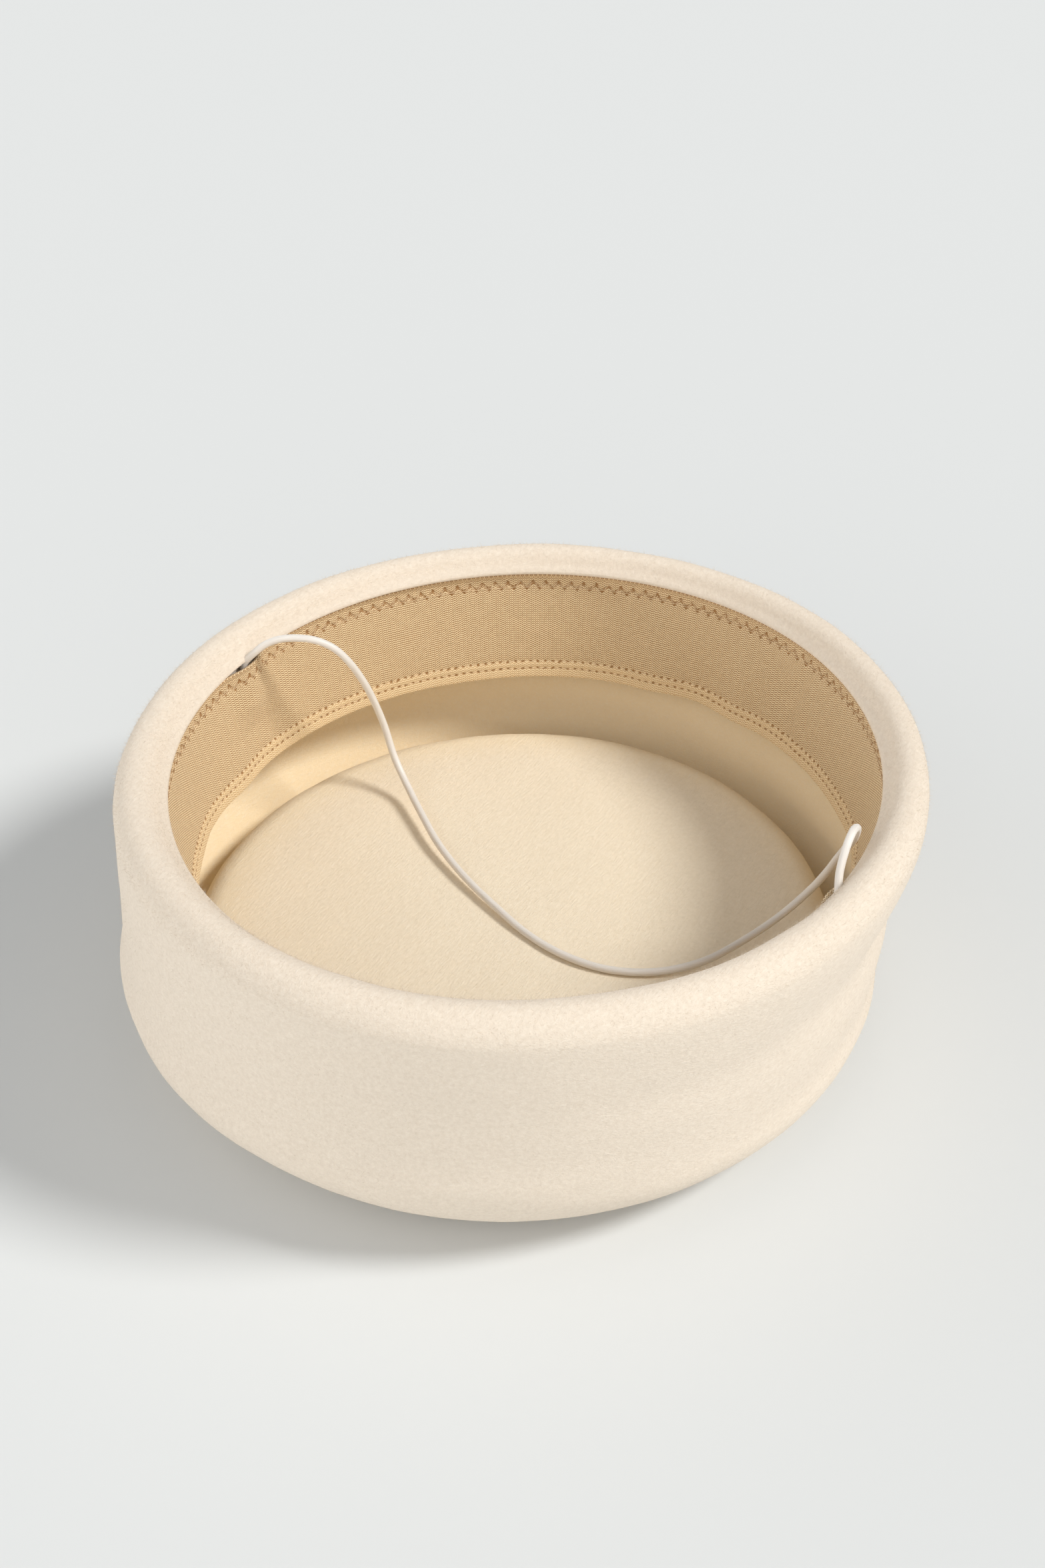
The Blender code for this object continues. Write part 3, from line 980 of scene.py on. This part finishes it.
def make_elastic(finish):
    """Round elastic, on the same route as its solid."""
    left, right = elastic_turns
    start = [pocket_point(left, pocket_depth * share) for share in pocket_shares]
    end = [pocket_point(right, pocket_depth * share) for share in reversed(pocket_shares)]
    points = start + [Vector(point) for point in elastic_route] + end
    route, length = smooth_route(points, elastic_steps)
    line = bpy.data.curves.new("head_elastic", "CURVE")
    line.dimensions = "3D"
    line.bevel_depth = elastic_thick / 2
    line.bevel_resolution = 4
    line.use_fill_caps = True
    spline = line.splines.new("POLY")
    spline.points.add(len(route) - 1)
    for point, where in zip(spline.points, route):
        point.co = (*where, 1.0)
    elastic = bpy.data.objects.new("head_elastic", line)
    line.materials.append(finish)
    bpy.context.scene.collection.objects.link(elastic)
    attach(elastic, "root")
    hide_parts("elastic_cord")
    return elastic


def make_camera():
    lens = bpy.data.cameras.new("camera")
    lens.lens = camera_lens
    camera = bpy.data.objects.new("camera", lens)
    camera.location = camera_place
    camera.rotation_euler = (math.radians(camera_tilt), 0.0, math.radians(camera_turn))
    bpy.context.scene.collection.objects.link(camera)
    bpy.context.scene.camera = camera


def make_table():
    shape = bmesh.new()
    bmesh.ops.create_grid(shape, x_segments=1, y_segments=1, size=4.0)
    mesh = bpy.data.meshes.new("table")
    shape.to_mesh(mesh)
    shape.free()
    table = bpy.data.objects.new("table", mesh)
    finish, tree, shader = new_finish("pale_table")
    shader.inputs["Base Color"].default_value = (0.700, 0.715, 0.712, 1.0)
    shader.inputs["Roughness"].default_value = 1.0
    shader.inputs["Specular IOR Level"].default_value = 0.0
    mesh.materials.append(finish)
    bpy.context.scene.collection.objects.link(table)


def sky_side(tree, split, turn):
    """1 at the side of the sky that lies in a direction, falling to 0 at the far side."""
    side = sum_up(tree, "MULTIPLY", split.outputs["X"], math.cos(math.radians(turn)) / 2)
    side = sum_up(tree, "MULTIPLY_ADD", split.outputs["Y"], math.sin(math.radians(turn)) / 2, side)
    return sum_up(tree, "ADD", side, 0.5)


def make_light():
    """Soft key light from the right, and a sky with a low glow and one at half height."""
    lamp = bpy.data.lights.new("key", "SUN")
    lamp.energy = key_power
    lamp.angle = math.radians(key_soft)
    lamp.color = (1.0, 0.99, 0.975)
    key = bpy.data.objects.new("key", lamp)
    key.rotation_euler = (0.0, math.radians(90 - key_height), math.radians(key_turn))
    bpy.context.scene.collection.objects.link(key)

    sky = bpy.data.worlds.new("studio")
    sky.use_nodes = True
    tree = sky.node_tree
    back = tree.nodes["Background"]
    where = put(tree, "ShaderNodeTexCoord")
    split = put(tree, "ShaderNodeSeparateXYZ")
    tree.links.new(where.outputs["Generated"], split.inputs["Vector"])
    height = sum_up(tree, "ABSOLUTE", split.outputs["Z"])
    under = sum_up(tree, "SUBTRACT", 1.0, height)
    low = sum_up(tree, "MULTIPLY", sum_up(tree, "POWER", under, glow_low), glow_power)
    half = sum_up(tree, "MULTIPLY", sum_up(tree, "MULTIPLY", height, under), half_power)
    light = sum_up(tree, "MULTIPLY_ADD", low, sky_side(tree, split, glow_turn), sky_above)
    light = sum_up(tree, "MULTIPLY_ADD", half, sky_side(tree, split, half_turn), light)
    back.inputs["Color"].default_value = (0.99, 0.995, 1.0, 1.0)
    tree.links.new(light, back.inputs["Strength"])
    bpy.context.scene.world = sky
    bpy.context.scene.view_settings.view_transform = "Standard"


make_camera()
make_elastic(make_elastic_finish())
wool = make_wool_group()
outside = make_felt_finish(
    "brushed_felt", wool,
    dark=(0.724, 0.620, 0.502), pale=(0.824, 0.720, 0.594), speck=(0.892, 0.812, 0.698),
)
# The inner felt is a brighter, warmer copy of the same felt: painted light for the bounce light
# inside the hollow
inside = make_felt_finish(
    "inner_felt_painted_bounce", wool,
    dark=(0.815, 0.705, 0.535), pale=(0.900, 0.785, 0.610), speck=(0.950, 0.855, 0.700),
    edge=(0.960, 0.775, 0.490),
)
felt = make_felt(outside, inside)
make_nap(felt, "crest_nap", crest_nap, 3, outside, rim_height + 0.001, 1.0, False)
make_nap(felt, "wall_nap", wall_nap, 7, outside, 0.002, rim_height + 0.001, False)
make_nap(felt, "tip_nap", tip_nap, 11, inside, tip_height - tip_shoulder, tip_height + 0.002, True)
band = make_band(make_knit_finish(make_knit_group(), make_seam_group()))
threads = make_threads(make_thread_finish())
make_table()
make_light()
